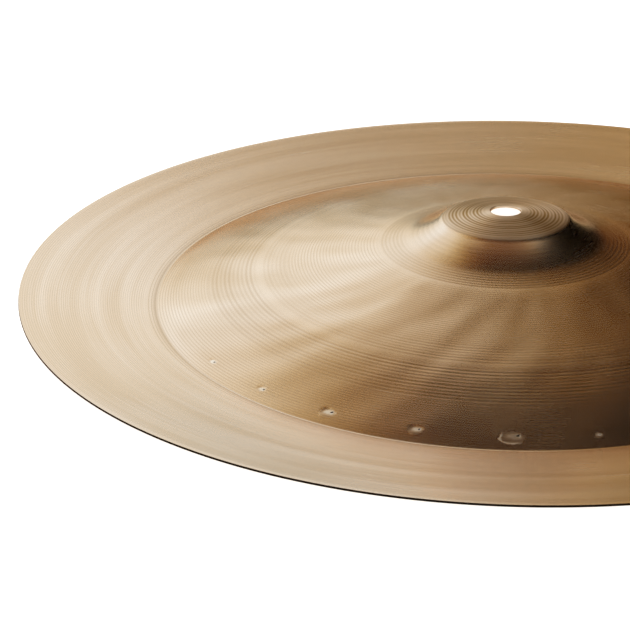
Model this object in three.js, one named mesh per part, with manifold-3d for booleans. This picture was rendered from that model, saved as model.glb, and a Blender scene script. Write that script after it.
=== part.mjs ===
// A china cymbal: one bronze disc, spun and hammered, in millimetres with +Z up.
// The origin is on its axis, in the plane of the ring that it stands on when it is laid down.

import * as THREE from "three";
import { mergeVertices, toCreasedNormals } from "three/addons/utils/BufferGeometryUtils.js";
import Module from "manifold-3d";

// Sizes across the disc
const discDiameter = 431.8;
const flangeWidth = 59.4;
const creaseLandWidth = 1.8;
const innerBowWidth = 40;
const flareWidth = 16.3;
const bellDiameter = 87.4;
const shoulderDiameter = 56;
const seatDiameter = 22;
const holeDiameter = 13.4;

// Heights, each counted from the one named before it: crease, outer bow, inner bow, flare, bell side, crown
const outerBowRise = 13.1;
const innerBowRise = 7.1;
const flareRise = 3.3;
const bellSideRise = 9;
const crownRise = 3;
// The turned-up flange starts at the crease too.
const rimRise = 12.5;

// How far the middle of each stretch stands above the straight line between its ends
const crownBulge = 0.1;
const bellSideBulge = -1;
const flareBulge = -0.2;
const innerBowBulge = -0.12;
const outerBowBulge = 0.95;
const flangeBulge = -0.1;

// How far each bend reaches along the stretches beside it
const shoulderBend = 2.2;
const bellFootBend = 1.4;
const creaseBend = 0.4;

// Sheet thickness, square to the surface
const bellThickness = 1.1;
const creaseThickness = 0.95;
const rimThickness = 0.85;

// Rounding of the sheet's cut edges
const holeEdgeRound = 0.4;
const rimEdgeRound = 0.2;

// Punched dents, in a short row just inside the crease
const dentSetback = 6.5;
const dentLength = 8.5;
const dentWidth = 7;
const dentDepth = 0.35;
const dentLengthShares = [0.35, 0.4, 0.65, 0.6, 1, 0.4];
const firstDentAngle = THREE.MathUtils.degToRad(-141);
const dentPitchAngle = THREE.MathUtils.degToRad(13.1);

// How finely the curves are stepped
const turnSteps = 80;
const edgeSteps = 2;
const flatSteps = 1;
const crownSteps = 2;
const shoulderSteps = 3;
const bellSideSteps = 4;
const bellFootSteps = 2;
const flareSteps = 2;
const innerBowSteps = 2;
const outerBowSteps = 4;
const creaseSteps = 1;
const flangeSteps = 3;
const dentTurnSteps = 10;
const dentHeightSteps = 6;
const shadingCrease = THREE.MathUtils.degToRad(35);

// Colour of cast bronze that has been turned bright
const bronzeColor = 0xc4a477;
const bronzeRoughness = 0.36;

// Radii
const holeRadius = holeDiameter / 2;
const seatRadius = seatDiameter / 2;
const shoulderRadius = shoulderDiameter / 2;
const bellRadius = bellDiameter / 2;
const flareRadius = bellRadius + flareWidth;
const waistRadius = flareRadius + innerBowWidth;
const rimRadius = discDiameter / 2;
const creaseRadius = rimRadius - flangeWidth;
const landRadius = creaseRadius + creaseLandWidth;

// The flange's tilt, which leans the rim's cut edge outward below
const flangeTilt = Math.atan2(rimRise, flangeWidth);
const rimLean = rimThickness * Math.sin(flangeTilt);
const rimRoundWidth = rimEdgeRound * Math.cos(flangeTilt);

// Heights of the upper face above the ring that the cymbal stands on
const creaseHeight = creaseThickness;
const waistHeight = creaseHeight + outerBowRise;
const flareHeight = waistHeight + innerBowRise;
const bellFootHeight = flareHeight + flareRise;
const shoulderHeight = bellFootHeight + bellSideRise;
const seatHeight = shoulderHeight + crownRise;
const rimHeight = creaseHeight + rimRise;

// Corners of the upper face in the r, z half plane, from the hole out to the rim
const holeEdge = new THREE.Vector2(holeRadius + holeEdgeRound, seatHeight);
const seatEdge = new THREE.Vector2(seatRadius, seatHeight);
const shoulder = new THREE.Vector2(shoulderRadius, shoulderHeight);
const bellFoot = new THREE.Vector2(bellRadius, bellFootHeight);
const flareEnd = new THREE.Vector2(flareRadius, flareHeight);
const bowWaist = new THREE.Vector2(waistRadius, waistHeight);
const creaseInner = new THREE.Vector2(creaseRadius, creaseHeight);
const creaseOuter = new THREE.Vector2(landRadius, creaseHeight);
const rimEdge = new THREE.Vector2(rimRadius - rimLean - rimRoundWidth, rimHeight);

// Stretches between the corners: bulge, steps, and the bend and its steps at the outer end
const stretches = [
  { from: holeEdge, to: seatEdge, bulge: 0, steps: flatSteps, bend: 0, bendSteps: 0 },
  { from: seatEdge, to: shoulder, bulge: crownBulge, steps: crownSteps, bend: shoulderBend,
    bendSteps: shoulderSteps },
  { from: shoulder, to: bellFoot, bulge: bellSideBulge, steps: bellSideSteps, bend: bellFootBend,
    bendSteps: bellFootSteps },
  { from: bellFoot, to: flareEnd, bulge: flareBulge, steps: flareSteps, bend: 0, bendSteps: 0 },
  { from: flareEnd, to: bowWaist, bulge: innerBowBulge, steps: innerBowSteps, bend: 0, bendSteps: 0 },
  { from: bowWaist, to: creaseInner, bulge: outerBowBulge, steps: outerBowSteps, bend: creaseBend,
    bendSteps: creaseSteps },
  { from: creaseInner, to: creaseOuter, bulge: 0, steps: flatSteps, bend: 0, bendSteps: 0 },
  { from: creaseOuter, to: rimEdge, bulge: flangeBulge, steps: flangeSteps, bend: 0, bendSteps: 0 },
];

const wasm = await Module();
wasm.setup();

// A stretch is a shallow curve whose middle stands off its chord by the bulge.
function stretchCurve({ from, to, bulge }) {
  const control = from.clone().lerp(to, 0.5);
  control.y += 2 * bulge;
  return new THREE.QuadraticBezierCurve(from, control, to);
}

// Points of one stretch, cut short at each end by the bend that takes its place there.
function stretchPoints(curve, steps, startBend, endBend) {
  const length = curve.v0.distanceTo(curve.v2);
  const first = startBend / length;
  const last = 1 - endBend / length;
  const points = [];
  for (let i = 0; i <= steps; i++) {
    points.push(curve.getPoint(THREE.MathUtils.lerp(first, last, i / steps)));
  }
  return points;
}

// Inner points of the bend round a corner, between the last point before it and the first after it.
function bendPoints(before, corner, after, steps) {
  return new THREE.QuadraticBezierCurve(before, corner, after).getPoints(steps).slice(1, -1);
}

// The upper face's outline, from the hole's edge out to the rim's edge.
function upperOutline() {
  const outline = [];
  let startBend = 0;
  let bendSteps = 0;
  for (const stretch of stretches) {
    const points = stretchPoints(stretchCurve(stretch), stretch.steps, startBend, stretch.bend);
    const before = outline.at(-1);
    if (bendSteps > 0) outline.push(...bendPoints(before, stretch.from, points[0], bendSteps));
    const joined = before !== undefined && before.distanceTo(points[0]) === 0;
    outline.push(...(joined ? points.slice(1) : points));
    startBend = stretch.bend;
    bendSteps = stretch.bendSteps;
  }
  return outline;
}

// Sheet thickness at a radius: even over the bell and the crease, tapering between them and to the rim.
function thicknessAt(radius) {
  if (radius <= bellRadius) return bellThickness;
  if (radius < creaseRadius) {
    return THREE.MathUtils.mapLinear(radius, bellRadius, creaseRadius, bellThickness, creaseThickness);
  }
  if (radius <= landRadius) return creaseThickness;
  return THREE.MathUtils.mapLinear(radius, landRadius, rimRadius, creaseThickness, rimThickness);
}

// The under face's outline: every edge of the upper one, moved square to itself by the thickness.
function underOutline(upper) {
  return upper.map((here, i) => {
    const into = here.clone().sub(upper[i - 1] ?? here).normalize();
    const out = (upper[i + 1] ?? here).clone().sub(here).normalize();
    const along = into.clone().add(out).normalize();
    const edge = into.lengthSq() > 0 ? into : out;
    const reach = thicknessAt(here.x) / along.dot(edge);
    return new THREE.Vector2(here.x + along.y * reach, here.y - along.x * reach);
  });
}

// A cut edge, from one face's last point to the other's: a flat wall with a rounded corner at each face.
function edgePoints(from, to, outward, round) {
  const across = to.clone().sub(from).normalize().multiplyScalar(round);
  const reach = outward.clone().multiplyScalar(round);
  const nearCorner = from.clone().add(reach);
  const farCorner = to.clone().add(reach);
  const nearRound = new THREE.QuadraticBezierCurve(from, nearCorner, nearCorner.clone().add(across));
  const farRound = new THREE.QuadraticBezierCurve(farCorner.clone().sub(across), farCorner, to);
  return [...nearRound.getPoints(edgeSteps).slice(1), ...farRound.getPoints(edgeSteps).slice(0, -1)];
}

// The whole section, closed on itself and wound so that the turned faces point outward.
function section() {
  const upper = upperOutline();
  const under = underOutline(upper).reverse();
  const outward = upper.at(-1).clone().sub(upper.at(-2)).normalize();
  const inward = new THREE.Vector2(-1, 0);
  const rim = edgePoints(upper.at(-1), under[0], outward, rimEdgeRound);
  const hole = edgePoints(under.at(-1), upper[0], inward, holeEdgeRound);
  return [...upper, ...rim, ...under, ...hole, upper[0].clone()].reverse();
}

function solidOf(geometry) {
  const bare = geometry.clone();
  bare.deleteAttribute("normal");
  bare.deleteAttribute("uv");
  const merged = mergeVertices(bare);
  return new wasm.Manifold(new wasm.Mesh({
    numProp: 3,
    vertProperties: merged.getAttribute("position").array,
    triVerts: new Uint32Array(merged.index.array),
  }));
}

function geometryOf(solid) {
  const mesh = solid.getMesh();
  const geometry = new THREE.BufferGeometry();
  geometry.setAttribute("position", new THREE.BufferAttribute(mesh.vertProperties, mesh.numProp));
  geometry.setIndex(new THREE.BufferAttribute(mesh.triVerts, 1));
  return toCreasedNormals(geometry, shadingCrease);
}

// The plain disc: the section turned about the vertical axis.
function discSolid() {
  const geometry = new THREE.LatheGeometry(section(), turnSteps);
  geometry.rotateX(Math.PI / 2);
  return solidOf(geometry);
}

// One dent's hollow, a flattened ball set into a face of the bow and tilted with it.
function dentSolid(length, angle, face) {
  const width = dentWidth * length / dentLength;
  const ball = new THREE.SphereGeometry(1, dentTurnSteps, dentHeightSteps);
  ball.rotateX(Math.PI / 2);
  ball.scale(length / 2, width / 2, dentDepth);
  ball.rotateX(-face.slope);
  ball.translate(0, face.radius, face.height);
  ball.rotateZ(angle - Math.PI / 2);
  return solidOf(ball);
}

// Where a dent sits on the upper face, and straight through the sheet on the under face.
function dentFaces() {
  const outerBow = stretchCurve(stretches.find((stretch) => stretch.from === bowWaist));
  const radius = creaseRadius - dentSetback;
  const share = (radius - waistRadius) / (creaseRadius - waistRadius);
  const point = outerBow.getPoint(share);
  const tangent = outerBow.getTangent(share);
  const slope = Math.atan2(-tangent.y, tangent.x);
  const thickness = thicknessAt(radius);
  const upper = { radius: point.x, height: point.y, slope };
  const under = {
    radius: point.x + tangent.y * thickness,
    height: point.y - tangent.x * thickness,
    slope,
  };
  return { upper, under };
}

// The disc with its row of dents, each hollow above and standing proud below.
function cymbalSolid() {
  const { upper, under } = dentFaces();
  let solid = discSolid();
  dentLengthShares.forEach((share, i) => {
    const length = dentLength * share;
    const angle = firstDentAngle + dentPitchAngle * i;
    solid = solid.add(dentSolid(length, angle, under)).subtract(dentSolid(length, angle, upper));
  });
  return solid;
}

function makeCymbal() {
  const material = new THREE.MeshStandardMaterial({
    color: bronzeColor,
    roughness: bronzeRoughness,
    metalness: 1,
  });
  const mesh = new THREE.Mesh(geometryOf(cymbalSolid()), material);
  mesh.name = "cymbal";
  return mesh;
}

const model = new THREE.Group();
model.add(makeCymbal());

export default model;
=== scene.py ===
"""A china cymbal in turned bronze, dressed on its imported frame. Metres, +Z up, seen from -Y."""

import math
from types import SimpleNamespace

import bpy
import numpy as np
from mathutils import Matrix, Vector


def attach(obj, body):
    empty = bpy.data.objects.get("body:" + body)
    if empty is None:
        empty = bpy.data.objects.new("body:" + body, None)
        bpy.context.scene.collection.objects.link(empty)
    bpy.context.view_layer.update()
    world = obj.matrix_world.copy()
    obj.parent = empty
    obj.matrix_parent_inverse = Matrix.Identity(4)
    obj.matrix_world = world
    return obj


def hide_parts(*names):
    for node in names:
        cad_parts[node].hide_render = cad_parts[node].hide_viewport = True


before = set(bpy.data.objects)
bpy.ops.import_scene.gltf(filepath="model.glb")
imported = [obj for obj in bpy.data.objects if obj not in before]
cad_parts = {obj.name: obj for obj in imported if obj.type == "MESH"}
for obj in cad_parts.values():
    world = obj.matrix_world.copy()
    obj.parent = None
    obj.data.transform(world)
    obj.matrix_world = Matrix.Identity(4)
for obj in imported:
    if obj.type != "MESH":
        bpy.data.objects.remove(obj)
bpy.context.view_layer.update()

MM = 0.001
SEED = 17

# Sizes in millimetres, the same as in the part's source, but for the rise of the crease: the
# land is flat there, and a soft V here. The zones and rings below are in millimetres too.
DISC_RADIUS = 215.9
CREASE_INNER = 156.5
CREASE_OUTER = 158.3
BOW_WAIST = 100.0
FLARE_END = 60.0
BELL_FOOT = 43.7
SHOULDER = 28.0
HOLE = 6.7
CREASE_HEIGHT = 0.95
CREASE_RISE = 0.36
WAIST_HEIGHT = 14.05
FLARE_HEIGHT = 21.15
BELL_FOOT_HEIGHT = 24.45
SHOULDER_HEIGHT = 33.45
SEAT_HEIGHT = 36.45
RIM_HEIGHT = 13.45
BELL_THICKNESS = 1.1
CREASE_THICKNESS = 0.95
RIM_THICKNESS = 0.85
HOLE_ROUND = 0.4
RIM_ROUND = 0.2
FLANGE_TILT = math.atan2(12.5, 59.4)
RIM_EDGE = DISC_RADIUS - RIM_THICKNESS * math.sin(FLANGE_TILT) - RIM_ROUND * math.cos(FLANGE_TILT)

# Each stretch of the upper face: its two corners, the bulge of its middle, and the bend at its
# outer corner
STRETCHES = [
    ((HOLE + HOLE_ROUND, SEAT_HEIGHT), (SHOULDER, SHOULDER_HEIGHT), 0.2, 2.2),
    ((SHOULDER, SHOULDER_HEIGHT), (BELL_FOOT, BELL_FOOT_HEIGHT), -1.0, 1.4),
    ((BELL_FOOT, BELL_FOOT_HEIGHT), (FLARE_END, FLARE_HEIGHT), -0.2, 1.2),
    ((FLARE_END, FLARE_HEIGHT), (BOW_WAIST, WAIST_HEIGHT), -0.12, 1.2),
    ((BOW_WAIST, WAIST_HEIGHT), (CREASE_INNER, CREASE_HEIGHT), 0.95, 0.4),
    ((CREASE_INNER, CREASE_HEIGHT), (CREASE_OUTER, CREASE_HEIGHT + CREASE_RISE), 0.0, 0.4),
    ((CREASE_OUTER, CREASE_HEIGHT + CREASE_RISE), (RIM_EDGE, RIM_HEIGHT), -0.1, 0.0),
]

# Heights of the soft hammer marks on the bow and of the soft waves on the flange
HAMMER_DEPTH = 0.070
FLANGE_WAVE = 0.027
# Each size of mark: its width across and its number round. The marks of the bow lean, by a whole
# turn over the radius MARK_LEAN.
SMALL_MARK, LARGE_MARK, FLANGE_MARK = (13.0, 88), (18.0, 43), (5.2, 26)
MARK_LEAN = 1500.0
# The hammer marks grow deeper from this radius outwards
MARK_GROWTH = 70.0
# Where the marks start, are full, begin to fade, and end
BOW_MARKS = (54, 64, 149, 155)
FLANGE_MARKS = (168, 176, 204, 212)

# Zones of deep turned grooves: first and last radius, pitch, and depth
GROOVE_ZONES = [
    (9.6, 26.8, 1.55, 0.050),
    (30.5, 41.5, 2.2, 0.020),
    (44.8, 56.5, 1.7, 0.030),
    (97.5, 109.5, 1.75, 0.026),
    (112.5, 133.5, 1.9, 0.040),
]
# Soft rings of the flange and the crease: radius, half width, and height
SOFT_RINGS = [
    (176.5, 3.0, -0.007),
    (187.0, 3.6, 0.010),
    (195.0, 3.0, -0.008),
    (203.0, 3.4, 0.010),
    (156.7, 0.30, 0.008),
    (157.45, 0.30, -0.010),
    (158.2, 0.28, 0.005),
]

# The row of punched dents just inside the crease: angle in degrees, then length, width and depth,
# and how much of a raised lip each has at its left and outer side
DENT_RADIUS = 150.0
LIP_HEIGHT = 0.06
DENTS = [
    (-141.2, 4.4, 3.6, 0.10, 0.0),
    (-128.4, 4.4, 3.8, 0.15, 0.0),
    (-115.7, 6.2, 5.2, 0.20, 0.1),
    (-101.9, 5.2, 4.8, 0.28, 0.1),
    (-88.3, 8.8, 6.6, 0.17, 1.0),
    (-76.2, 3.0, 3.2, 0.18, 0.0),
]

# Rings of vertices on the upper face: shares of a groove's pitch, then rings between the grooves,
# as single ones and as even spans of a first, a last and a count
GROOVE_SHARES = (-0.25, 0, 0.25, 0.5)
SINGLE_RINGS = (
    *(7.5, 8.1, 8.8, 9.5, 26.7, 27.3, 28.0, 28.7, 29.4, 42.2, 42.8, 43.4, 44.0),
    *(108.7, 110.2, 111.6, 134.6, 137.0, 139.5, 142.0, 144.5, 155.0, 155.8, 156.3, 156.55),
    *(156.8, 157.05, 157.35, 157.65, 157.95, 158.25, 158.55, 158.9, 159.4, 160.0, 160.6, 161.4),
)
RING_SPANS = ((58.0, 96.0, 14), (145.9, 154.1, 15), (163.5, RIM_EDGE, 24))
LEAST_RING_GAP = 0.16
LINE_POINTS = 400
BEND_POINTS = 12
EDGE_POINTS = 5
SLOPE_STEP = 0.12
LOWER_RING_STEP = 4
LOWER_GROOVE_SHIFT = 0.8
LOWER_GROOVE_SHARE = 0.8

# Depth at which the material takes a deep groove as full. Places at the dents, in half lengths
# and half widths: the value far from any, and where the third value starts to grow.
FULL_GROOVE = 0.03
FAR_OFF = 9.0
DENT_REACH = 2.2

# Widest gaps between columns of vertices in degrees, on the plain sheet and at a dent
COLUMN_GAP = 1.5
DENT_COLUMN_GAP = 0.4
DENT_MARGIN = 0.9

# Zones of the fine lines that only the material has: first and last radius, and soft edge
BELL_SIDE = (28.0, 43.0, 3.0)
INNER_BOW = (60.0, 96.0, 4.0)
OUTER_BOW = (134.5, 154.0, 1.5)
FLANGE = (164.0, 214.0, 4.0)
# The fine grooves: zone, pitch, and share. Their spacing drifts by up to GROOVE_DRIFT radians, and
# their depth follows a step of the waver: its low and high, and the depth at each.
FINE_GROOVES = ((INNER_BOW, 1.42, 0.8), (OUTER_BOW, 1.26, 1.0), (FLANGE, 0.95, 0.6))
GROOVE_DRIFT = 5.0
GROOVE_DEPTH = (0.3, 0.75, 0.5, 1.3)
# Noises drawn out along the rings: width across them, changes round the disc, detail, and shift
NOISES = {
    "drift": (9.0, 0.5, 1.0, 0.0),
    "fine": (0.55, 2.2, 2.0, 0.0),
    "lines": (1.1, 1.2, 1.0, 40.0),
    "broad": (5.5, 0.8, 2.0, 21.0),
    "waver": (14.0, 2.5, 2.0, 7.0),
}
CLOUD_SCALE, CLOUD_DETAIL = 26.0, 3.0
# The fine relief: its height in metres, then the shares of the grooves, of the lines drawn on the
# bell's side, and of the dents' lips, patches and pits
RELIEF_HEIGHT = 9e-6
GROOVE_RELIEF, DRAWN_RELIEF, TORN_RELIEF = 0.42, 0.7, (6.0, 4.0, -12.0)
# Shares in the tone between deep and pale bronze
CLOUD_TONE, WAVER_TONE, BAND_TONE, HAMMER_TONE, TONE_SHIFT = 1.1, 0.9, 2.6, 0.42, -0.5
# Shares of painted shade in the fine grooves, at the shoulder and in the crease's middle, and of a
# darker crown
WAVE_SHADE, SHOULDER_SHADE, CROWN_DARK, CREASE_SHADE = 0.25, 0.35, 0.10, 0.20
# Share of the painted highlight on the dents' lips and torn patches
DENT_GLINT_SHARE = 0.95
# On the crown and outside it: the share of painted shade in the deep grooves, and the highlight's
# stretch
GROOVE_SHADE = (0.60, 0.20)
ANISOTROPY = (0.85, 0.5)
# Roughness of the sheet, and what the clouds, the streaks, the rim's cut edge, the torn metal and
# the crown add to it
ROUGHNESS = 0.205
CLOUD_ROUGH, STREAK_ROUGH, RIM_ROUGH, TORN_ROUGH, CROWN_ROUGH = 0.06, 0.05, 0.2, 0.15, 0.14
# Lines of painted shade along the crease: first and last radius, soft edge, and share of shade
CREASE_SHADE_LINES = (
    (156.4, 158.2, 0.4, 0.20),
    (158.8, 158.95, 0.3, 0.32),
    (160.2, 160.3, 0.3, 0.28),
    (155.3, 155.5, 0.25, 0.20),
)
# Painted shade in the crease's middle and at the shoulder: first and last radius, and soft edge.
# Then the crown's edge.
CREASE_MIDDLE = (157.2, 157.6, 0.35)
SHOULDER_LINE = (27.6, 28.0, 0.4)
CROWN_EDGE = (27.6, 28.6)

PALE_BRONZE = (0.84, 0.69, 0.51, 1)
DEEP_BRONZE = (0.75, 0.59, 0.41, 1)
# Painted shade in the grooves' valleys, at the shoulder and along the crease, and a darker tone on
# the crown
SHADE_AND_CROWN_BROWN = (0.36, 0.23, 0.12, 1)
# Painted shade in the crease's middle
CREASE_SHADE_BROWN = (0.20, 0.12, 0.06, 1)
# Painted highlight on the dents' lips and torn patches
DENT_GLINT_BRIGHT = (1.0, 0.93, 0.78, 1)
# Painted shade in the dents' pits
PIT_SHADE_BLACK = (0.03, 0.02, 0.02, 1)
# Painted dark reflection on the rim's cut edge
RIM_EDGE_DARK_REFLECTION = (0.012, 0.008, 0.005, 1)
EDGE_TINT = (0.7, 0.5, 0.3, 1)

# The set, in metres: levels of the world's light and of the floor, and the one lamp
WORLD_LIGHT = 0.30
FLOOR_GREY = (0.62, 0.62, 0.62, 1)
FLOOR_GLOW = 0.84
FLOOR_REACH = 30.0
FLOOR_DROP = 0.0001
LAMP_PLACE = (-0.7, 0.4, 1.9)
LAMP_SIZE = (1.8, 1.4)
LAMP_POWER = 26
WHITE = (1, 1, 1, 1)

# Soft lights round the set: azimuths, elevations, soft edges, and colour
GLOWS = {
    "left_glow": ((88, 171), (3, 37), (4, 10), (0.229, 0.46, 0.907)),
    "zenith_glow": ((0, 360), (57, 140), (0, 22), (0.052, 0.020, 0.008)),
}
# Dark flags round the set: azimuths, elevations, soft edges, the least share that they let
# through, and the powers of that share for red, green and blue
WARM, COOL = (1.0, 1.6, 3.0), (1.0, 0.60, 0.35)
FLAGS = {
    "right_flag": ((-8, 96), (-40, 140), (24.6, 24), 0.0, WARM),
    "brow_flag": ((0, 131), (32.8, 140), (28.6, 24.4), 0.0, WARM),
    "horizon_flag": ((30, 134), (-20, 9.2), (13.8, 5.3), 0.0, COOL),
    "top_flag": ((5, 190), (39.1, 140), (30, 33), 0.25, WARM),
    "cap_flag": ((0, 360), (54, 140), (0, 24), 0.12, WARM),
}
GLOW_DISTANCE, FLAG_DISTANCE, CARD_GAP = 4.0, 5.0, 0.1
CARD_CELLS = (24, 12)
CARD_ELEVATIONS = (-12, 90)

# The camera: metres from the middle of the crease, then angles in radians, and its focal length
CAMERA_DISTANCE, CAMERA_RISE = 0.70961, 0.39348
CAMERA_PITCH, CAMERA_YAW, CAMERA_ROLL = 0.41322, -0.13124, -0.02456
FOCAL_PIXELS, IMAGE_PIXELS, SENSOR_WIDTH = 1555.23, 630, 36.0


def smooth(t):
    t = np.clip(t, 0.0, 1.0)
    return t * t * (3.0 - 2.0 * t)


def quadratic(start, control, end, count):
    t = np.linspace(0.0, 1.0, count)[:, None]
    a, b, c = (np.array(p, float) for p in (start, control, end))
    return (1 - t) ** 2 * a + 2 * t * (1 - t) * b + t**2 * c


def stretch_line(start, end, bulge):
    """A shallow curve whose middle stands off its chord by the bulge."""
    control = ((start[0] + end[0]) / 2, (start[1] + end[1]) / 2 + 2 * bulge)
    return quadratic(start, control, end, LINE_POINTS)


def upper_line():
    """The upper face as a dense line of r and z, with its corners rounded by their bends."""
    line = np.empty((0, 2))
    for start, end, bulge, bend in STRETCHES:
        points = stretch_line(start, end, bulge)
        far = np.hypot(*(points - np.array(start)).T)
        if len(line):
            points = points[far > before_bend]
            corner = np.array(start)
            line = np.vstack([line, quadratic(line[-1], corner, points[0], BEND_POINTS)[1:-1]])
        near_end = np.hypot(*(points - np.array(end)).T)
        line = np.vstack([line, points[near_end >= bend]])
        before_bend = bend
    return line


def thickness_at(radius):
    stations = [0, BELL_FOOT, CREASE_INNER, CREASE_OUTER, DISC_RADIUS]
    bell, crease = BELL_THICKNESS, CREASE_THICKNESS
    return np.interp(radius, stations, [bell, bell, crease, crease, RIM_THICKNESS])


def groove_list():
    """Every deep groove as its radius, pitch and depth, with small seeded differences."""
    random = np.random.RandomState(SEED)
    grooves = []
    for first, last, pitch, depth in GROOVE_ZONES:
        radius = first
        while radius < last:
            edge = smooth((radius - first) / 3 + 0.35) * smooth((last - radius) / 3 + 0.35)
            grooves.append((radius, pitch, depth * edge * random.uniform(0.65, 1.25)))
            radius += pitch * random.uniform(0.93, 1.07)
    return grooves


def ring_stations(grooves):
    """Radii of the upper face's rings of vertices: four to each deep groove, and a few between."""
    stations = [HOLE + HOLE_ROUND, *SINGLE_RINGS]
    for radius, pitch, _ in grooves:
        stations += [radius + pitch * share for share in GROOVE_SHARES]
    for first, last, count in RING_SPANS:
        stations += list(np.linspace(first, last, count))
    stations = np.unique(np.round(stations, 3))
    keep = [stations[0]]
    for radius in stations[1:]:
        if radius - keep[-1] > LEAST_RING_GAP:
            keep.append(radius)
    keep[-1] = RIM_EDGE
    return np.array(keep)


def face_rings(stations, line):
    """Points and outward normals of the smooth upper face at the stations."""
    radius, height = line.T
    points = np.stack([stations, np.interp(stations, radius, height)], 1)
    before = np.clip(stations - SLOPE_STEP, radius[0], radius[-1])
    after = np.clip(stations + SLOPE_STEP, radius[0], radius[-1])
    rise = np.interp(after, radius, height) - np.interp(before, radius, height)
    slope = rise / (after - before)
    normals = np.stack([-slope, np.ones_like(slope)], 1)
    return points, normals / np.linalg.norm(normals, axis=1)[:, None]


def turned_height(radius, grooves, rings=SOFT_RINGS):
    """Height of the turned grooves and soft rings over the smooth face, at each radius."""
    height = np.zeros_like(radius)
    for centre, pitch, depth in grooves:
        near = np.abs(radius - centre) < pitch * 0.5
        height[near] -= depth * np.cos(np.pi * (radius[near] - centre) / pitch) ** 2
    for centre, half, rise in rings:
        height += rise * np.exp(-(((radius - centre) / half) ** 2))
    return height


def edge_arc(start, end, outward, rounding):
    """A cut edge from one face to the other: a flat wall with a rounded corner at each face."""
    across = (end - start) / np.linalg.norm(end - start) * rounding
    reach = np.array(outward) * rounding
    near = quadratic(start, start + reach, start + reach + across, EDGE_POINTS)[1:]
    far = quadratic(end + reach - across, end + reach, end, EDGE_POINTS)[:-1]
    return np.vstack([near, far])


def section(grooves):
    """The closed section: points, normals, and how many belong to each face and cut edge."""
    stations = ring_stations(grooves)
    line = upper_line()
    upper, up = face_rings(stations, line)
    sparse = np.unique(np.r_[0 : len(stations) : LOWER_RING_STEP, len(stations) - 1])
    thick = thickness_at(upper[:, 0])[:, None]
    lower = (upper - up * thick)[sparse][::-1]
    down = -up[sparse][::-1]
    upper_cut = upper + up * turned_height(stations, grooves)[:, None]
    under = turned_height(stations[sparse][::-1] + LOWER_GROOVE_SHIFT, grooves)[:, None]
    lower_cut = lower + down * under * LOWER_GROOVE_SHARE
    outward = np.array([math.cos(FLANGE_TILT), math.sin(FLANGE_TILT)])
    rim = edge_arc(upper_cut[-1], lower_cut[0], outward, RIM_ROUND)
    hole = edge_arc(lower_cut[-1], upper_cut[0], np.array([-1.0, 0.0]), HOLE_ROUND)
    points = np.vstack([upper_cut, rim, lower_cut, hole])
    normals = np.vstack([up, np.zeros_like(rim), down, np.zeros_like(hole)])
    return points, normals, (len(upper_cut), len(rim), len(lower_cut), len(hole))


def columns():
    """Angles of the columns of vertices, closer together at each dent."""
    angles = []
    for centre, length, _, _, _ in DENTS:
        reach = math.degrees(length / DENT_RADIUS) * 0.5 + DENT_MARGIN
        count = int(reach * 2 / DENT_COLUMN_GAP) + 1
        angles += list(np.linspace(centre - reach, centre + reach, count))
    angles = sorted(angles)
    full = []
    for here, after in zip(angles, angles[1:] + [angles[0] + 360.0]):
        count = max(1, int(math.ceil((after - here) / COLUMN_GAP)))
        full += [here + (after - here) * i / count for i in range(count)]
    return np.radians(full)


def spline_weights(t):
    """Weights of the four lattice values round a point, t of the way from second to third."""
    second = (3 * t**3 - 6 * t**2 + 4) / 6
    third = (3 * (t - t**2 - t**3) + 6 * t**2 + 1) / 6
    return [(1 - t) ** 3 / 6, second, third, t**3 / 6]


def lattice_noise(turns, across, cells, seed):
    """Smooth seeded noise, about -1 to 1: cells to a whole turn, and one to each unit across."""
    rows, first_row, gain = 64, 8, 1.9
    values = np.random.RandomState(seed).uniform(-1, 1, (cells, rows))
    first_u, first_v = np.floor(turns * cells).astype(int), np.floor(across).astype(int)
    weights_u = spline_weights(turns * cells - first_u)
    weights_v = spline_weights(across - first_v)
    total = np.zeros_like(turns)
    for i in range(4):
        for j in range(4):
            value = values[(first_u + i - 1) % cells, (first_v + j - 1 + first_row) % rows]
            total += weights_u[i] * weights_v[j] * value
    return total * gain


def ring_zone(radius, start, full, fade, end):
    """0 at start and end, and 1 between full and fade."""
    return smooth((radius - start) / (full - start)) * smooth((end - radius) / (end - fade))


def hammer_marks(radius, angle):
    """Soft leaning marks on the bow, and drawn-out ones on the flange, each about -1 to 1."""
    turns = angle / (2 * math.pi)
    lean = turns + radius / MARK_LEAN
    bow = lattice_noise(lean, radius / SMALL_MARK[0], SMALL_MARK[1], SEED)
    bow += 0.8 * lattice_noise(lean, radius / LARGE_MARK[0] + 3, LARGE_MARK[1], SEED + 1)
    bow *= ring_zone(radius, *BOW_MARKS)
    drift = radius + 2.2 * np.sin(angle + 1.0) + 1.2 * np.sin(3 * angle)
    flange = lattice_noise(turns, drift / FLANGE_MARK[0], FLANGE_MARK[1], SEED + 2)
    flange *= ring_zone(radius, *FLANGE_MARKS)
    return bow, flange


def dent_height(radius, angle):
    """Punched dents: an oval floor that rises towards the crease, with a partly raised lip."""
    height = np.zeros_like(radius)
    for i, (centre, length, width, depth, lipped) in enumerate(DENTS):
        along = np.mod(angle - math.radians(centre) + math.pi, 2 * math.pi) - math.pi
        along = along * DENT_RADIUS / (length / 2)
        across = (radius - DENT_RADIUS) / (width / 2)
        turn = np.arctan2(across, along)
        uneven = 1 + 0.10 * np.sin(3 * turn + i) + 0.08 * np.sin(5 * turn + 2 * i)
        far = np.hypot(along, across) / uneven
        inside = smooth((1.05 - far) / 0.35)
        ripple = 0.15 * np.sin(6 * along + i) * np.sin(5 * across)
        floor = (1 - 0.65 * lipped) * across - 0.35 + ripple
        outer_side = smooth((across - along) / 1.6 + 0.3)
        lip = LIP_HEIGHT * lipped * np.exp(-(((far - 1.0) / 0.22) ** 2)) * outer_side
        height += depth * inside * floor + lip
    return height


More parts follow.
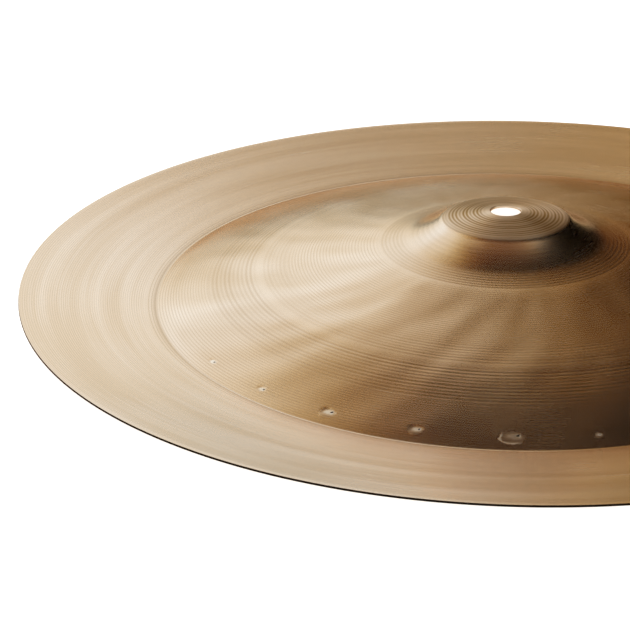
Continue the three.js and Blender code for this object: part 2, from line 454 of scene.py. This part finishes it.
def sheet_mesh():
    grooves = groove_list()
    points, normals, counts = section(grooves)
    angles = columns()
    n_rings, n_columns = len(points), len(angles)
    radius, angle = points[:, 0][:, None], angles[None, :]
    upper = np.zeros(n_rings)
    upper[: counts[0]] = 1.0
    lower = np.zeros(n_rings)
    lower[counts[0] + counts[1] : counts[0] + counts[1] + counts[2]] = 1.0
    spread = radius + 0 * angle
    bow, flange = hammer_marks(spread, angle + 0 * radius)
    hammer = HAMMER_DEPTH * bow * np.maximum(spread / MARK_GROWTH, 1.0) + FLANGE_WAVE * flange
    dents = dent_height(spread, angle + 0 * radius)
    raised = (upper[:, None] - lower[:, None]) * (hammer + dents)
    r = radius + normals[:, 0][:, None] * raised
    z = points[:, 1][:, None] + normals[:, 1][:, None] * raised
    verts = np.stack([r * np.cos(angle), r * np.sin(angle), z], -1).reshape(-1, 3) * MM
    mesh = bpy.data.meshes.new("cymbal_bronze")
    ring = np.arange(n_rings)[:, None] * n_columns
    column = np.arange(n_columns)[None, :]
    after_ring = (np.arange(n_rings)[:, None] + 1) % n_rings * n_columns
    after_column = (column + 1) % n_columns
    corners = [ring + column, after_ring + column, after_ring + after_column, ring + after_column]
    faces = np.stack(corners, -1)
    mesh.from_pydata(verts.tolist(), [], faces.reshape(-1, 4).tolist())
    mesh.update()
    mesh.polygons.foreach_set("use_smooth", np.ones(len(mesh.polygons), bool))
    wrap_map(mesh, points, angles)
    edge_share(mesh, counts, n_columns)
    groove_share(mesh, points, upper, grooves, n_columns)
    dent_place(mesh, spread, angle + 0 * radius, upper)
    attribute = mesh.attributes.new("hammered", "FLOAT", "POINT")
    attribute.data.foreach_set("value", (bow + flange).astype(np.float32).ravel())
    return mesh


def wrap_map(mesh, points, angles):
    """A texture map that unrolls the sheet: the angle across, the way along the section up."""
    steps = np.diff(np.vstack([points, points[:1]]), axis=0)
    way = np.r_[0, np.cumsum(np.linalg.norm(steps, axis=1))]
    up = way / way[-1]
    turns = (np.r_[angles, angles[0] + 2 * math.pi] - angles[0]) / (2 * math.pi)
    n_rings, n_columns = len(points), len(angles)
    i, j = np.meshgrid(np.arange(n_rings), np.arange(n_columns), indexing="ij")
    corners = [(j, i), (j, i + 1), (j + 1, i + 1), (j + 1, i)]
    flat = np.stack([np.stack([turns[a], up[b]], -1) for a, b in corners], 2).reshape(-1, 2)
    layer = mesh.uv_layers.new(name="OFBake")
    layer.data.foreach_set("uv", flat.astype(np.float32).ravel())


def edge_share(mesh, counts, n_columns):
    """Marks the rim's cut edge with 1 and the hole's with 0.5, for the material."""
    share = np.zeros(sum(counts))
    share[counts[0] + 1 : counts[0] + counts[1]] = 1.0
    share[sum(counts[:3]) :] = 0.5
    attribute = mesh.attributes.new("cut_edge", "FLOAT", "POINT")
    attribute.data.foreach_set("value", np.repeat(share, n_columns).astype(np.float32))


def groove_share(mesh, points, upper, grooves, n_columns):
    """How deep in a turned groove each point of the upper face lies, from 0 to about 1."""
    share = -turned_height(points[:, 0], grooves, ()) / FULL_GROOVE * upper
    attribute = mesh.attributes.new("groove", "FLOAT", "POINT")
    attribute.data.foreach_set("value", np.repeat(share, n_columns).astype(np.float32))


def dent_place(mesh, radius, angle, upper):
    """Each point's place in its nearest dent, in half lengths and half widths, with a third value
    that grows outside it, and whether that dent has a lip."""
    best = np.full(radius.shape, 1e9)
    place, lip = np.full((*radius.shape, 3), FAR_OFF), np.zeros(radius.shape)
    for centre, length, width, _, lipped in DENTS:
        turn = np.mod(angle - math.radians(centre) + math.pi, 2 * math.pi) - math.pi
        along = turn * DENT_RADIUS / (length / 2)
        across = (radius - DENT_RADIUS) / (width / 2)
        far = np.hypot(along, across)
        short = np.minimum(1.0, FAR_OFF / np.maximum(far, 1e-6))
        outside = np.clip(far - DENT_REACH, 0, FAR_OFF)
        here = np.stack([along * short, across * short, outside], -1)
        near = (far < best) & (upper[:, None] > 0)
        best[near], place[near], lip[near] = far[near], here[near], lipped
    attribute = mesh.attributes.new("dent_place", "FLOAT_VECTOR", "POINT")
    attribute.data.foreach_set("vector", place.astype(np.float32).ravel())
    attribute = mesh.attributes.new("dent_lip", "FLOAT", "POINT")
    attribute.data.foreach_set("value", lip.astype(np.float32).ravel())


def put(tree, kind, inputs=None, out=0, **settings):
    """Adds one node, links or sets its inputs by name or number, and returns one of its outputs."""
    made = tree.nodes.new(kind)
    for name, value in settings.items():
        setattr(made, name, value)
    for name, value in (inputs or {}).items():
        if isinstance(value, bpy.types.NodeSocket):
            tree.links.new(value, made.inputs[name])
        else:
            made.inputs[name].default_value = value
    return made.outputs[out] if len(made.outputs) else None


def sum_of(tree, *values):
    total = values[0]
    for value in values[1:]:
        total = put(tree, "ShaderNodeMath", {0: total, 1: value}, operation="ADD")
    return total


def times(tree, *values):
    total = values[0]
    for value in values[1:]:
        total = put(tree, "ShaderNodeMath", {0: total, 1: value}, operation="MULTIPLY")
    return total


def step_up(tree, value, low, high, lowest=0.0, highest=1.0):
    """A smooth step of value from lowest at low to highest at high."""
    names = {"Value": value, "From Min": low, "From Max": high, "To Min": lowest, "To Max": highest}
    return put(tree, "ShaderNodeMapRange", names, interpolation_type="SMOOTHSTEP")


def band(tree, value, low, high, soft):
    """1 between low and high, falling to 0 within soft outside them."""
    rise = step_up(tree, value, low - soft, low)
    fall = step_up(tree, value, high, high + soft, 1.0, 0.0)
    return times(tree, rise, fall)


def new_material(name):
    material = bpy.data.materials.new(name)
    material.use_nodes = True
    material.node_tree.nodes.clear()
    return material, material.node_tree


def vector(tree, operation, first, second=None, out=0):
    """One step of vector arithmetic."""
    names = {0: first} if second is None else {0: first, 1: second}
    return put(tree, "ShaderNodeVectorMath", names, out=out, operation=operation)


def marked(tree, name, out="Fac"):
    """A mark that the mesh carries at its vertices."""
    return put(tree, "ShaderNodeAttribute", out=out, attribute_name=name)


def disc_coordinates(tree):
    """The radius in millimetres and the direction from the axis, from the object's own place."""
    here = put(tree, "ShaderNodeTexCoord", out="Object")
    flat = vector(tree, "MULTIPLY", here, (1, 1, 0))
    radius = times(tree, vector(tree, "LENGTH", flat, out="Value"), 1000.0)
    return here, radius, vector(tree, "NORMALIZE", flat)


def ring_noise(tree, radius, direction, pitch, turns, detail, shift):
    """Noise drawn out along the rings: pitch is its width across them, turns its changes round."""
    names = {0: radius, 1: 1.0 / pitch, 2: shift}
    across = put(tree, "ShaderNodeMath", names, operation="MULTIPLY_ADD")
    up = put(tree, "ShaderNodeCombineXYZ", {"Z": across})
    names = {0: direction, "Scale": turns}
    round_way = put(tree, "ShaderNodeVectorMath", names, operation="SCALE")
    where = vector(tree, "ADD", round_way, up)
    names = {"Vector": where, "Scale": 1.0, "Detail": detail, "Roughness": 0.55}
    return put(tree, "ShaderNodeTexNoise", names, out="Fac", noise_dimensions="3D")


def groove_wave(tree, radius, pitch, drift):
    """A regular turned groove of one pitch, from -1 to 1, whose spacing drifts a little."""
    turn = times(tree, radius, 2 * math.pi / pitch)
    moved = sum_of(tree, turn, times(tree, drift, GROOVE_DRIFT))
    return put(tree, "ShaderNodeMath", {0: moved}, operation="SINE")


def dent_marks(tree):
    """The lip, torn patch, pit and inside of each dent, each from 0 to 1. The colour paints a
    highlight on the lip and patch, and shade in the pit.
    """
    place = marked(tree, "dent_place", out="Vector")
    lipped = marked(tree, "dent_lip")
    names = {"Vector": place, "Scale": 1.6, "Detail": 2.5}
    rough = put(tree, "ShaderNodeTexNoise", names, out="Color")
    centred = vector(tree, "ADD", rough, (-0.5, -0.5, -0.5))
    shift = vector(tree, "MULTIPLY", centred, (0.9, 0.6, 0.0))
    moved = vector(tree, "ADD", place, shift)
    far = vector(tree, "LENGTH", moved, out="Value")
    side = vector(tree, "DOT_PRODUCT", place, (-0.7, 0.7, 0), out="Value")
    lip = times(tree, band(tree, far, 0.95, 1.0, 0.12), step_up(tree, side, -0.3, 0.5), lipped)
    narrow = vector(tree, "MULTIPLY", moved, (1.0, 1.5, 1.0))
    patch_far = vector(tree, "DISTANCE", narrow, (0.3, -0.2, 0), out="Value")
    patch = step_up(tree, patch_far, 0.45, 1.05, 1.0, 0.0)
    patch = times(tree, patch, step_up(tree, lipped, 0.0, 1.0, 1.0, 0.5))
    pit_far = vector(tree, "DISTANCE", moved, (0.62, -0.30, 0), out="Value")
    pit = step_up(tree, pit_far, 0.10, 0.24, 1.0, 0.0)
    return lip, patch, pit, step_up(tree, far, 0.85, 1.05, 1.0, 0.0)


def mixed(tree, share, first, second):
    return put(tree, "ShaderNodeMix", {0: share, 6: first, 7: second}, out=2, data_type="RGBA")


def bronze_fields(tree):
    """The noises, zones and marks that the bronze is made from."""
    here, radius, direction = disc_coordinates(tree)
    noises = {}
    for name, numbers in NOISES.items():
        noises[name] = ring_noise(tree, radius, direction, *numbers)
    f = SimpleNamespace(radius=radius, **noises)
    names = {"Vector": here, "Scale": CLOUD_SCALE, "Detail": CLOUD_DETAIL}
    f.cloud = put(tree, "ShaderNodeTexNoise", names, out="Fac")
    f.lip, f.patch, f.pit, f.inside = dent_marks(tree)
    f.flange = band(tree, f.radius, *FLANGE)
    f.past_crown = step_up(tree, f.radius, *CROWN_EDGE)
    f.rim_cut = step_up(tree, marked(tree, "cut_edge"), 0.6, 0.95)
    f.wave = fine_grooves(tree, f)
    return f


def fine_grooves(tree, f):
    """The regular fine grooves of the bow and the flange, about -1 to 1, with an uneven depth."""
    waves = []
    for zone, pitch, share in FINE_GROOVES:
        wave = groove_wave(tree, f.radius, pitch, f.drift)
        waves.append(times(tree, wave, band(tree, f.radius, *zone), share))
    return times(tree, sum_of(tree, *waves), step_up(tree, f.waver, *GROOVE_DEPTH))


def bronze_bump(tree, f):
    """The fine relief: grooves, drawn lines on the bell's side, and the dents' torn metal."""
    bell_side = band(tree, f.radius, *BELL_SIDE)
    parts = [
        times(tree, f.wave, GROOVE_RELIEF),
        times(tree, sum_of(tree, f.lines, -0.5), bell_side, DRAWN_RELIEF),
    ]
    parts += [times(tree, *pair) for pair in zip((f.lip, f.patch, f.pit), TORN_RELIEF)]
    names = {"Strength": 1.0, "Distance": RELIEF_HEIGHT, "Height": sum_of(tree, *parts)}
    return put(tree, "ShaderNodeBump", names, out="Normal")


def bronze_colour(tree, f):
    """Pale and deep bronze in clouds and streaks, with painted shade in the grooves, crease and
    pits, a darker crown, a painted highlight on the dents and a painted dark reflection on the
    rim's cut edge.
    """
    bands = times(tree, sum_of(tree, f.broad, -0.5), f.flange, BAND_TONE)
    streaks = times(tree, sum_of(tree, f.fine, -0.5), sum_of(tree, 0.5, f.flange))
    hammered = times(tree, marked(tree, "hammered"), HAMMER_TONE)
    clouds = sum_of(tree, times(tree, f.cloud, CLOUD_TONE), times(tree, f.waver, WAVER_TONE))
    tone = sum_of(tree, clouds, streaks, bands, hammered, TONE_SHIFT)
    colour = mixed(tree, tone, DEEP_BRONZE, PALE_BRONZE)
    # Painted shade in the valleys of the fine and deep grooves, at the shoulder and along the
    # crease, and a darker tone over the crown
    dark = [
        step_up(tree, f.wave, -0.9, 0.3, WAVE_SHADE, 0.0),
        times(tree, marked(tree, "groove"), step_up(tree, f.past_crown, 0.0, 1.0, *GROOVE_SHADE)),
        times(tree, band(tree, f.radius, *SHOULDER_LINE), SHOULDER_SHADE),
        step_up(tree, f.past_crown, 0.0, 1.0, CROWN_DARK, 0.0),
    ]
    dark += [times(tree, band(tree, f.radius, *line), share) for *line, share in CREASE_SHADE_LINES]
    colour = mixed(tree, sum_of(tree, *dark), colour, SHADE_AND_CROWN_BROWN)
    # Painted shade in the crease's middle
    middle = times(tree, band(tree, f.radius, *CREASE_MIDDLE), CREASE_SHADE)
    colour = mixed(tree, middle, colour, CREASE_SHADE_BROWN)
    # A painted highlight on the dents' lips and torn patches; the roughness below also uses this
    # mask for the torn metal
    torn_and_glint = times(tree, sum_of(tree, f.lip, f.patch), DENT_GLINT_SHARE)
    colour = mixed(tree, torn_and_glint, colour, DENT_GLINT_BRIGHT)
    # Painted shade in the dents' pits
    colour = mixed(tree, f.pit, colour, PIT_SHADE_BLACK)
    # A painted dark reflection on the rim's cut edge
    return mixed(tree, f.rim_cut, colour, RIM_EDGE_DARK_REFLECTION)


def bronze_roughness(tree, f):
    """Satin, and rougher on the crown, at the dents and at the rim's cut edge."""
    torn_and_glint = times(tree, sum_of(tree, f.lip, f.patch, times(tree, f.inside, 0.3)), TORN_ROUGH)
    clouds, streaks = times(tree, f.cloud, CLOUD_ROUGH), times(tree, f.fine, STREAK_ROUGH)
    lathed = step_up(tree, f.past_crown, 0.0, 1.0, CROWN_ROUGH, 0.0)
    rim = times(tree, f.rim_cut, RIM_ROUGH)
    return sum_of(tree, clouds, streaks, ROUGHNESS, rim, torn_and_glint, lathed)


def bronze_material():
    material, tree = new_material("turned_bronze")
    f = bronze_fields(tree)
    tangent = put(tree, "ShaderNodeTangent", direction_type="RADIAL", axis="Z")
    names = {
        "Base Color": bronze_colour(tree, f),
        "Metallic": 1.0,
        "Roughness": bronze_roughness(tree, f),
        "Anisotropic": step_up(tree, f.past_crown, 0.0, 1.0, *ANISOTROPY),
        "Anisotropic Rotation": 0.25,
        "Tangent": tangent,
        "Normal": bronze_bump(tree, f),
        "Specular Tint": EDGE_TINT,
    }
    shader = put(tree, "ShaderNodeBsdfPrincipled", names)
    put(tree, "ShaderNodeOutputMaterial", {"Surface": shader})
    return material


def seen_rays(tree):
    """1 for rays from the camera, and for rays that show the set in metal or glass."""
    path = put(tree, "ShaderNodeLightPath")
    outputs = path.node.outputs
    rays = (outputs[kind] for kind in ("Is Camera Ray", "Is Glossy Ray", "Is Transmission Ray"))
    return put(tree, "ShaderNodeMath", {0: sum_of(tree, *rays), 1: 1.0}, operation="MINIMUM")


def make_world():
    world = bpy.data.worlds.new("studio")
    bpy.context.scene.world = world
    world.use_nodes = True
    tree = world.node_tree
    tree.nodes.clear()
    level = step_up(tree, seen_rays(tree), 0.0, 1.0, WORLD_LIGHT, 1.0)
    light = put(tree, "ShaderNodeBackground", {"Color": WHITE, "Strength": level})
    put(tree, "ShaderNodeOutputWorld", {"Surface": light})


def make_floor():
    material, tree = new_material("pale_floor")
    own = times(tree, seen_rays(tree), FLOOR_GLOW)
    shader = put(tree, "ShaderNodeBsdfDiffuse", {"Color": FLOOR_GREY})
    glow = put(tree, "ShaderNodeEmission", {"Color": WHITE, "Strength": own})
    both = put(tree, "ShaderNodeAddShader", {0: shader, 1: glow})
    put(tree, "ShaderNodeOutputMaterial", {"Surface": both})
    mesh = bpy.data.meshes.new("floor")
    corners = [(-1, -1, 0), (1, -1, 0), (1, 1, 0), (-1, 1, 0)]
    mesh.from_pydata((np.array(corners) * FLOOR_REACH).tolist(), [], [(0, 1, 2, 3)])
    floor = bpy.data.objects.new("floor", mesh)
    floor.location.z = -FLOOR_DROP
    mesh.materials.append(material)
    bpy.context.scene.collection.objects.link(floor)


def card_shape(tree, azimuths, elevations, soft):
    """1 in the middle of a card, falling to 0 at its edges. In degrees, like the card's own map."""
    place = put(tree, "ShaderNodeUVMap", uv_map="degrees")
    across = put(tree, "ShaderNodeSeparateXYZ", {0: place})
    up = across.node.outputs["Y"]
    rise = band(tree, up, elevations[0] + soft[1], elevations[1] - soft[1], soft[1])
    if not soft[0]:
        return rise
    first, last = azimuths[0] + soft[0], azimuths[1] - soft[0]
    return times(tree, rise, band(tree, across, first, last, soft[0]))


def glow_material(name, colour, *shape):
    """A soft light: it adds its glow to what is seen through it."""
    material, tree = new_material(name)
    names = {"Color": (*colour, 1), "Strength": card_shape(tree, *shape)}
    glow = put(tree, "ShaderNodeEmission", names)
    both = put(tree, "ShaderNodeAddShader", {0: glow, 1: put(tree, "ShaderNodeBsdfTransparent")})
    put(tree, "ShaderNodeOutputMaterial", {"Surface": both})
    return material


def flag_material(name, least, powers, *shape):
    """A dark flag of tinted gauze: the least share passes in its middle, and its edges tint."""
    material, tree = new_material(name)
    names = {"Value": card_shape(tree, *shape), "To Min": 1.0, "To Max": least}
    clear = put(tree, "ShaderNodeMapRange", names)
    parts = {part: put(tree, "ShaderNodeMath", {0: clear, 1: power}, operation="POWER")
             for part, power in zip(("Red", "Green", "Blue"), powers)}
    tint = put(tree, "ShaderNodeCombineColor", parts)
    gauze = put(tree, "ShaderNodeBsdfTransparent", {"Color": tint})
    put(tree, "ShaderNodeOutputMaterial", {"Surface": gauze})
    return material


def make_card(name, azimuths, elevations, distance, material):
    """A large curved card round the set: azimuth from +X towards +Y, elevation from the floor."""
    wide, high = CARD_CELLS
    across = np.linspace(*azimuths, wide + 1)
    up = np.linspace(*np.clip(elevations, *CARD_ELEVATIONS), high + 1)
    places = [(a, e) for e in up for a in across]
    verts = []
    for a, e in np.radians(places):
        verts.append((math.cos(e) * math.cos(a), math.cos(e) * math.sin(a), math.sin(e)))
    row = wide + 1
    faces = [(i * row + j, i * row + j + 1, (i + 1) * row + j + 1, (i + 1) * row + j)
             for i in range(high) for j in range(wide)]
    mesh = bpy.data.meshes.new(name)
    mesh.from_pydata((np.array(verts) * distance).tolist(), [], faces)
    layer = mesh.uv_layers.new(name="degrees")
    for loop in mesh.loops:
        layer.data[loop.index].uv = places[loop.vertex_index]
    mesh.materials.append(material)
    card = bpy.data.objects.new(name, mesh)
    bpy.context.scene.collection.objects.link(card)
    card.visible_camera = card.visible_diffuse = card.visible_shadow = False
    card.visible_transmission = card.visible_volume_scatter = False


def make_cards():
    """The soft lights and the dark flags, one behind the other."""
    for i, (name, (*shape, colour)) in enumerate(GLOWS.items()):
        material = glow_material(name, colour, *shape)
        make_card(name, shape[0], shape[1], GLOW_DISTANCE + CARD_GAP * i, material)
    for i, (name, (*shape, least, powers)) in enumerate(FLAGS.items()):
        material = flag_material(name, least, powers, *shape)
        make_card(name, shape[0], shape[1], FLAG_DISTANCE + CARD_GAP * i, material)


def make_lamp():
    data = bpy.data.lights.new("soft_lamp", "AREA")
    data.shape, data.energy = "RECTANGLE", LAMP_POWER
    data.size, data.size_y = LAMP_SIZE
    lamp = bpy.data.objects.new("soft_lamp", data)
    lamp.location = LAMP_PLACE
    lamp.rotation_euler = (-lamp.location).to_track_quat("-Z", "Y").to_euler()
    lamp.visible_glossy = False
    bpy.context.scene.collection.objects.link(lamp)


def make_camera():
    """Stands 0.71 m off and 22.5 degrees up, turned a little to the left and rolled slightly."""
    rise, pitch, yaw, roll = CAMERA_RISE, CAMERA_PITCH, CAMERA_YAW, CAMERA_ROLL
    ahead = math.cos(pitch)
    forward = Vector((math.sin(yaw) * ahead, math.cos(yaw) * ahead, -math.sin(pitch)))
    level = Vector((math.cos(yaw), -math.sin(yaw), 0))
    upright = level.cross(forward)
    right = math.cos(roll) * level + math.sin(roll) * upright
    up = math.cos(roll) * upright - math.sin(roll) * level
    data = bpy.data.cameras.new("camera")
    data.sensor_width = SENSOR_WIDTH
    data.lens = FOCAL_PIXELS / IMAGE_PIXELS * SENSOR_WIDTH
    camera = bpy.data.objects.new("camera", data)
    bpy.context.scene.collection.objects.link(camera)
    turn = Matrix((right, up, -forward)).transposed().to_4x4()
    height = CAMERA_DISTANCE * math.sin(rise) + CREASE_HEIGHT * MM
    place = Vector((0, -CAMERA_DISTANCE * math.cos(rise), height))
    camera.matrix_world = Matrix.Translation(place) @ turn
    bpy.context.scene.camera = camera


make_camera()
cymbal = bpy.data.objects.new("cymbal_bronze", sheet_mesh())
bpy.context.scene.collection.objects.link(cymbal)
cymbal.data.materials.append(bronze_material())
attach(cymbal, "root")
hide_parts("cymbal")
make_world()
make_floor()
make_cards()
make_lamp()
bpy.context.scene.view_settings.view_transform = "Standard"
